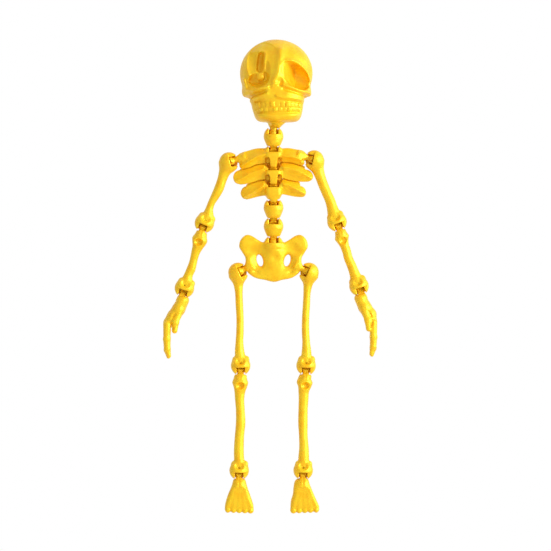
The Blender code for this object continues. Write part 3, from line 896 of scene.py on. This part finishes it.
def pelvis(name):
    """A bowl with two lobed wings, a raised sacrum, two oval holes and a ball on each side."""
    block = Block((-22, -6, -21), (22, 5.6, 6), MEDIUM)
    half = [(4.0, 0.9), (7.4, 2.2), (11.2, 4.6), (14.2, 4.9), (16.8, 2.4), (17.5, -1.0), (15.9, -4.0),
            (14.4, -6.6), (14.2, -9.6), (13.6, -13.6), (9.6, -16.8), (4.4, -18.0), (0.2, -19.0)]
    outline = rounded_outline(half + [(-x, z) for x, z in reversed(half[:-1])])
    edge = outline_distance(block.x[:, 0], block.z[:, 0], outline)[:, None, :]

    x, z = block.x, block.z
    front = 1.9 + 0 * x * z
    front += 2.5 * hump(x, z, (0.4, -4.0), (4.6, 8.0))
    front += 0.9 * hump(x, z, (0, -16.0), (9.5, 3.2))
    front -= 1.1 * hump(x, z, (0.8, -6.6), (2.0, 2.1))
    front -= 0.4 * hump(x, z, (0, -2.2), (4.5, 0.5))
    for side in (-1, 1):
        front += 0.8 * hump(x, z, (side * 14.8, 0.8), (3.2, 5.2), side * 0.35)
        front += 0.5 * hump(x, z, (side * 9.6, 2.4), (5.0, 1.6), side * 0.45)
        front += 0.8 * hump(x, z, (side * 12.6, -9.0), (2.2, 4.6), side * -0.15)
        front -= 0.9 * hump(x, z, (side * 11.8, -3.4), (3.0, 2.2), side * 0.5)
        front -= 1.0 * hump(x, z, (side * 7.6, -8.4), (2.8, 4.8), side * 0.2)
        front -= 0.7 * hump(x, z, (side * 8.8, -14.0), (1.6, 1.0), side * -0.4)
    field = keep(edge, np.maximum(-front - block.y, block.y - BED), 1.6)
    hips = [(pivot("thigh_" + leg_name) - pivot(name), side) for leg_name, side in SIDES.items()]
    for centre, side in hips:
        field = cut(field, ball(block, CUP + SWING_CLEARANCE, centre), 0.5)
        hole = ellipsoid(block, (1.6, 14.0, 3.1), (side * 7.0, 0, -8.0), side * math.radians(14))
        field = cut(field, hole, 1.4)
    field = join(field, ball(block, CUP), 1.2)
    for centre, side in hips:
        field = side_stub(block, field, centre, side, HIP_SLOPE, HIP_STEM)
    field = hollow_cup(block, field, (0, 0, 0), 0.0, SPINE_GAP, SPINE_GAP)
    build(name, block, flat_back(block, field), place_at(name))


# ---------------------------------------------------------------- skull

def bowl(out, steepness=0.6):
    """Depth of a bowl, 1 in the middle and 0 at its edge."""
    return np.clip(1 - out ** 2, 0, 1) ** steepness


def stroke(block, points):
    """Distance from the front to a line of points."""
    away = 1e6
    for (x0, z0), (x1, z1) in zip(points, points[1:]):
        ex, ez = x1 - x0, z1 - z0
        wx, wz = block.x - x0, block.z - z0
        share = np.clip((wx * ex + wz * ez) / (ex * ex + ez * ez), 0, 1)
        away = np.minimum(away, np.sqrt((wx - share * ex) ** 2 + (wz - share * ez) ** 2))
    return away


def line(block, points, width):
    """A soft line through points, 1 on the line."""
    return np.exp(-(stroke(block, points) / width) ** 2)


def press(block, field, depth):
    """Move the front of a surface in by a depth that is given over the front view."""
    front = np.clip((-5.0 - block.y) / 4.0, 0, 1)
    return field + depth * front


def skull(name, below):
    """Cranium, sockets, cheekbones, muzzle, teeth and jaw in one, with the neck ball below."""
    neck = pivot(below)
    block = Block((-19.5, -27.0, neck.z - 3.4), (22.2, 5.6, 1.0), COARSE)
    field = ellipsoid(block, (18.4, 16.0, 17.1), (1.4, -8.0, -17.2))

    # The face below the cranium: cheekbones, then muzzle and jaw, which sit to its left
    face = column(block, [
        (-20.0, 1.3, -9.5, 14.6, 14.2), (-26.0, 1.4, -9.6, 14.4, 14.2), (-29.4, 1.6, -9.6, 14.0, 14.2),
        (-33.0, 1.9, -9.4, 13.2, 13.6), (-36.6, 2.1, -9.2, 12.5, 13.0), (-39.4, 2.2, -8.8, 11.6, 12.2),
        (-41.6, 2.2, -8.4, 10.2, 11.0),
    ], 2.5, 1.6)
    field = join(field, face, 1.6)
    cheeks = column(block, [
        (-20.5, 1.5, -9.0, 15.6, 12.0), (-23.5, 1.5, -9.6, 17.0, 13.4), (-27.0, 1.5, -9.8, 17.5, 14.0),
        (-29.6, 1.5, -9.6, 16.8, 13.4),
    ], 2.0, 1.6)
    field = join(field, cheeks, 1.0)

    field = press(block, field, brow_and_nose(block))
    field = press(block, field, right_eye(block))
    field = cut(field, left_socket(block), 0.5)
    field = join(field, ball(block, 2.35, (-6.4, -18.4, -19.8)), 0.3)
    field = press(block, field, teeth(block))
    field = join(field, rod(block, (2.0, -4.6, -40.0), (0.9, -0.8, -42.4), 4.2, 3.1), 1.6)
    field = join(field, stub(block, neck, UP, 9.0, TURNING_REACH, TURNING_STEM, groove=0.1), 1.6)
    field = cut(field, turning_room(block, neck, TURNING_STEM + STEM_ROOM), 0.3)
    build(name, block, flat_back(block, field), place_at(name))


def brow_and_nose(block):
    """Raised and pressed lines of the face: the ridge of the nose, the rims and the cheeks."""
    raised = 1.0 * line(block, [(3.8, -6.5), (3.4, -10.0), (3.0, -13.5), (2.2, -18.0), (0.2, -22.6)], 1.8)
    brow = [
        (4.6, -13.6), (7.0, -12.1), (10.0, -12.0), (13.0, -13.4), (15.2, -15.6), (16.8, -18.2), (17.6, -21.0),
    ]
    raised = raised + 0.9 * line(block, brow, 0.9)
    right_cheek = [(-15.0, -21.0), (-13.8, -26.0), (-10, -26.9), (-4, -25.8), (1.0, -23.9)]
    raised = raised + 1.2 * line(block, right_cheek, 0.9)
    raised = raised + 1.2 * line(block, [(4.4, -24.0), (8.0, -25.2), (12.5, -26.7), (18.0, -27.8)], 0.8)
    raised = raised + 0.8 * line(block, [(-11.6, -31.2), (-7.5, -29.8), (-3.4, -28.4)], 0.8)
    raised = raised + 0.9 * line(block, [(1.6, -29.8), (4.4, -30.4), (10.0, -31.0), (14.4, -31.3)], 0.8)
    raised = raised + 0.8 * line(block, [(7.0, -28.8), (12.0, -29.4)], 1.5)
    raised = raised + 0.8 * line(block, [(-7.0, -39.6), (2.0, -40.4), (11.0, -39.6)], 1.5)
    pressed = 1.3 * line(block, [(-12.8, -30.2), (-8.0, -28.6), (-4.4, -27.6)], 1.1)
    pressed = pressed + 0.9 * line(block, [(5.0, -26.2), (12.0, -28.0), (17.0, -29.2)], 0.7)
    pressed = pressed + 1.2 * bowl(across_oval(block, (3.5, -23.0), (1.6, 2.7), math.radians(-8)), 1.2)
    pressed = pressed + 0.7 * bowl(across_oval(block, (-1.6, -25.0), (0.9, 1.4), math.radians(20)))
    pressed = pressed + 0.7 * line(block, [(-9.0, -32.4), (2.0, -31.6), (13.0, -32.6)], 0.6)
    pressed = pressed + 0.7 * line(block, [(-9.0, -37.6), (2.0, -38.3), (12.4, -37.4)], 0.7)
    return pressed - raised


def right_eye(block):
    """A shallow dish with a pit that slopes in from its outer side, a keyhole slot, and a small socket."""
    dish = across_oval(block, (-4.8, -12.9), (8.8, 11.2))
    inner_side = np.clip((5.2 - block.x) / 7.0, 0.3, 1)
    depth = 1.1 * bowl(dish, 0.6) * inner_side - 0.35 * np.exp(-((dish - 1) / 0.055) ** 2)
    pit = np.clip((block.x + 13.2) / 5.4, 0, 1) * np.clip((-4.4 - block.x) / 1.3, 0, 1)
    depth = depth + 3.3 * pit * bowl((block.z + 13.4) / 6.2, 1.0)
    slot = stroke(block, [(-6.0, -9.0), (-6.5, -12.5), (-6.9, -16.2)])
    depth = depth + 1.2 * bowl(slot / 1.6, 0.7) - 0.3 * np.exp(-((slot - 2.2) / 0.6) ** 2)
    socket = across_oval(block, (-7.2, -21.0), (5.5, 4.2), math.radians(-14))
    corner = across_oval(block, (-3.5, -17.4), (2.0, 5.9))
    return np.maximum(depth, 3.4 * bowl(socket, 0.5)) + 1.6 * bowl(corner, 1.2)


def left_socket(block):
    """A teardrop socket: its floor is flat on the outer side, and slopes forward on the inner side."""
    out = across_oval(block, (11.1, -19.4), (8.7, 5.2), math.radians(41))
    rim = -23.8 + 0.62 * (block.x - 4.5)
    share = bowl(out, 0.4)
    inner_wall = -22.0 + 2.2 * (block.x - 5.6)
    floor = np.minimum(SOCKET_FLOOR, inner_wall) * share + rim * (1 - share)
    return np.maximum((block.y - floor) * 0.6, (out - 1.03) * 4.0)


SOCKET_FLOOR = -10.4


def teeth(block):
    """Two rows of low uneven teeth that follow the curve of the jaw, with a slit between them."""
    around = np.arctan2(block.x - 2.0, -(block.y + 9.2))
    reach = np.clip(1.12 - np.abs(around), 0, 0.2) / 0.2
    depth = 0
    for height, half_height, shift in TOOTH_ROWS:
        place = around / TOOTH_PITCH + shift
        offset = place - np.round(place)
        uneven = 0.7 + 0.4 * np.sin(2.1 * np.round(place) + height)
        crown = np.clip(1 - (np.abs(offset) / 0.46) ** 4, 0, 1) ** 0.5
        level = np.clip(1 - (np.abs(block.z - height) / half_height) ** 4, 0, 1) ** 0.5
        depth = depth - 0.7 * uneven * crown * level
    band = np.clip(1 - (np.abs(block.z + 35.1) / 3.0) ** 6, 0, 1)
    return (depth + 0.65 * band) * reach


TOOTH_PITCH = math.radians(11.0)

# Each row of teeth: height, half height and shift along the row, in teeth
TOOTH_ROWS = ((-33.9, 1.35, 0.0), (-36.6, 1.0, 0.5))


# ---------------------------------------------------------------- the figure

skull("skull", "neck")
vertebra("neck", "chest_upper")
chest_upper("chest_upper", "chest_middle")
chest_piece("chest_middle", "chest_lower", 23, RIBS_MIDDLE, 1.9)
chest_piece("chest_lower", "lumbar_upper", 20, RIBS_LOWER, 1.6, last=True)
vertebra("lumbar_upper", "lumbar_lower", flare=0.3)
vertebra("lumbar_lower", "pelvis", turning=True)
pelvis("pelvis")
for side_name, side_sign in SIDES.items():
    arm(side_name, side_sign)
    leg(side_name, side_sign)


# ---------------------------------------------------------------- studio

def white_floor():
    """A plain pale floor, well below the hanging figure."""
    mesh = bpy.data.meshes.new("floor")
    corners = [(x * FLOOR_HALF, y * FLOOR_HALF, FLOOR_LEVEL) for x, y in ((-1, -1), (1, -1), (1, 1), (-1, 1))]
    mesh.from_pydata(corners, [], [(0, 1, 2, 3)])
    material = bpy.data.materials.new("pale_floor")
    material.use_nodes = True
    shader = material.node_tree.nodes["Principled BSDF"]
    shader.inputs["Base Color"].default_value = (0.9, 0.9, 0.9, 1)
    shader.inputs["Roughness"].default_value = 0.9
    mesh.materials.append(material)
    floor = bpy.data.objects.new("floor", mesh)
    bpy.context.scene.collection.objects.link(floor)


def white_surroundings():
    """A white studio: plain white behind the figure, and softer light from its left and above."""
    world = bpy.data.worlds.new("studio")
    bpy.context.scene.world = world
    world.use_nodes = True
    tree = world.node_tree
    tree.nodes.clear()
    place = tree.nodes.new("ShaderNodeTexCoord")
    tilt = tree.nodes.new("ShaderNodeVectorMath")
    tilt.operation = "DOT_PRODUCT"
    tilt.inputs[1].default_value = LIGHT_SIDE
    tree.links.new(place.outputs["Generated"], tilt.inputs[0])
    level = tree.nodes.new("ShaderNodeMapRange")
    level.inputs["From Min"].default_value = -1.0
    level.inputs["From Max"].default_value = 1.0
    level.inputs["To Min"].default_value = AMBIENT_LOW
    level.inputs["To Max"].default_value = AMBIENT_HIGH
    tree.links.new(tilt.outputs["Value"], level.inputs["Value"])
    lit = tree.nodes.new("ShaderNodeBackground")
    lit.inputs["Color"].default_value = (1, 1, 1, 1)
    tree.links.new(level.outputs[0], lit.inputs["Strength"])
    seen = tree.nodes.new("ShaderNodeBackground")
    seen.inputs["Color"].default_value = (1, 1, 1, 1)
    seen.inputs["Strength"].default_value = 1.0
    rays = tree.nodes.new("ShaderNodeLightPath")
    mix = tree.nodes.new("ShaderNodeMixShader")
    tree.links.new(rays.outputs["Is Camera Ray"], mix.inputs[0])
    tree.links.new(lit.outputs[0], mix.inputs[1])
    tree.links.new(seen.outputs[0], mix.inputs[2])
    out = tree.nodes.new("ShaderNodeOutputWorld")
    tree.links.new(mix.outputs[0], out.inputs["Surface"])


def soft_light(name, place, target, size, power):
    """A round area light that faces a target."""
    data = bpy.data.lights.new(name, "AREA")
    data.shape = "DISK"
    data.size = size
    data.energy = power
    light = bpy.data.objects.new(name, data)
    light.location = place
    light.rotation_euler = (Vector(target) - Vector(place)).to_track_quat("-Z", "Y").to_euler()
    bpy.context.scene.collection.objects.link(light)


FLOOR_HALF = 8.0
FLOOR_LEVEL = -1.6

# Light from all round: which side it is brighter on, and its strength on the dark and the bright side
LIGHT_SIDE = (0.7, 0.25, 0.4)
AMBIENT_LOW = 0.6
AMBIENT_HIGH = 0.96

KEY_PLACE = (1.16, -0.74, 0.12)
KEY_SIZE = 0.7
KEY_POWER = 20.0

VIEW_CENTRE = Vector((0.0010, 0, -0.1196))
VIEW_WIDTH = 0.281
VIEW_DISTANCE = 1.2
SENSOR = 36.0

white_floor()
white_surroundings()
soft_light("key", KEY_PLACE, VIEW_CENTRE, KEY_SIZE, KEY_POWER)

camera_data = bpy.data.cameras.new("camera")
camera_data.sensor_width = SENSOR
camera_data.lens = SENSOR * VIEW_DISTANCE / VIEW_WIDTH
camera = bpy.data.objects.new("camera", camera_data)
camera.location = VIEW_CENTRE + Vector((0, -VIEW_DISTANCE, 0))
camera.rotation_euler = (math.pi / 2, 0, 0)
bpy.context.scene.collection.objects.link(camera)
bpy.context.scene.camera = camera
bpy.context.scene.view_settings.view_transform = "Standard"
